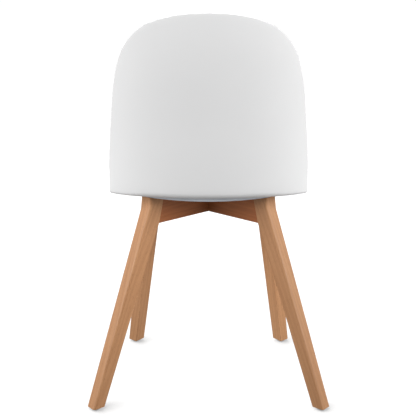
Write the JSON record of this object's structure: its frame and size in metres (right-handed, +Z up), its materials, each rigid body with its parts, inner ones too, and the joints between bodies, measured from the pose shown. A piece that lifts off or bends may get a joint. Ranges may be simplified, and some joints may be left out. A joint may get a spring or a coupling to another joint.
{
  "type": "dining chair",
  "caption": "Armless dining chair with a white moulded shell, a padded seat and a crossed beech frame on splayed tapered legs.",
  "frame": {"origin": "on the floor, below the middle of the chair's bounding box", "axes": "+Z up, +Y towards the front of the seat, +X to the right when the chair is seen from behind"},
  "size_m": [0.513, 0.4782, 0.832],
  "materials": {
    "shell_plastic": "satin",
    "grey_plastic": "matte",
    "plywood": "raw",
    "pad_cover": "matte",
    "beech": "satin",
    "glide_nylon": "satin",
    "zinc_steel": "satin",
    "brass": "satin"
  },
  "bodies": {
    "root": {"shell": "shell_plastic", "under_pan": "grey_plastic", "seat_board": "plywood", "seat_pad": "pad_cover", "rail_left_to_right": "beech", "rail_right_to_left": "beech", "leg_rear_left": "beech", "leg_rear_right": "beech", "leg_front_left": "beech", "leg_front_right": "beech", "glide_rear_left": "glide_nylon", "glide_rear_right": "glide_nylon", "glide_front_left": "glide_nylon", "glide_front_right": "glide_nylon", "seat_screws": "zinc_steel", "seat_washers": "zinc_steel", "shell_inserts": "brass", "board_screws": "zinc_steel", "cross_screw": "zinc_steel", "glide_nails": "zinc_steel", "leg_dowels": "beech"}
  },
  "joints": []
}
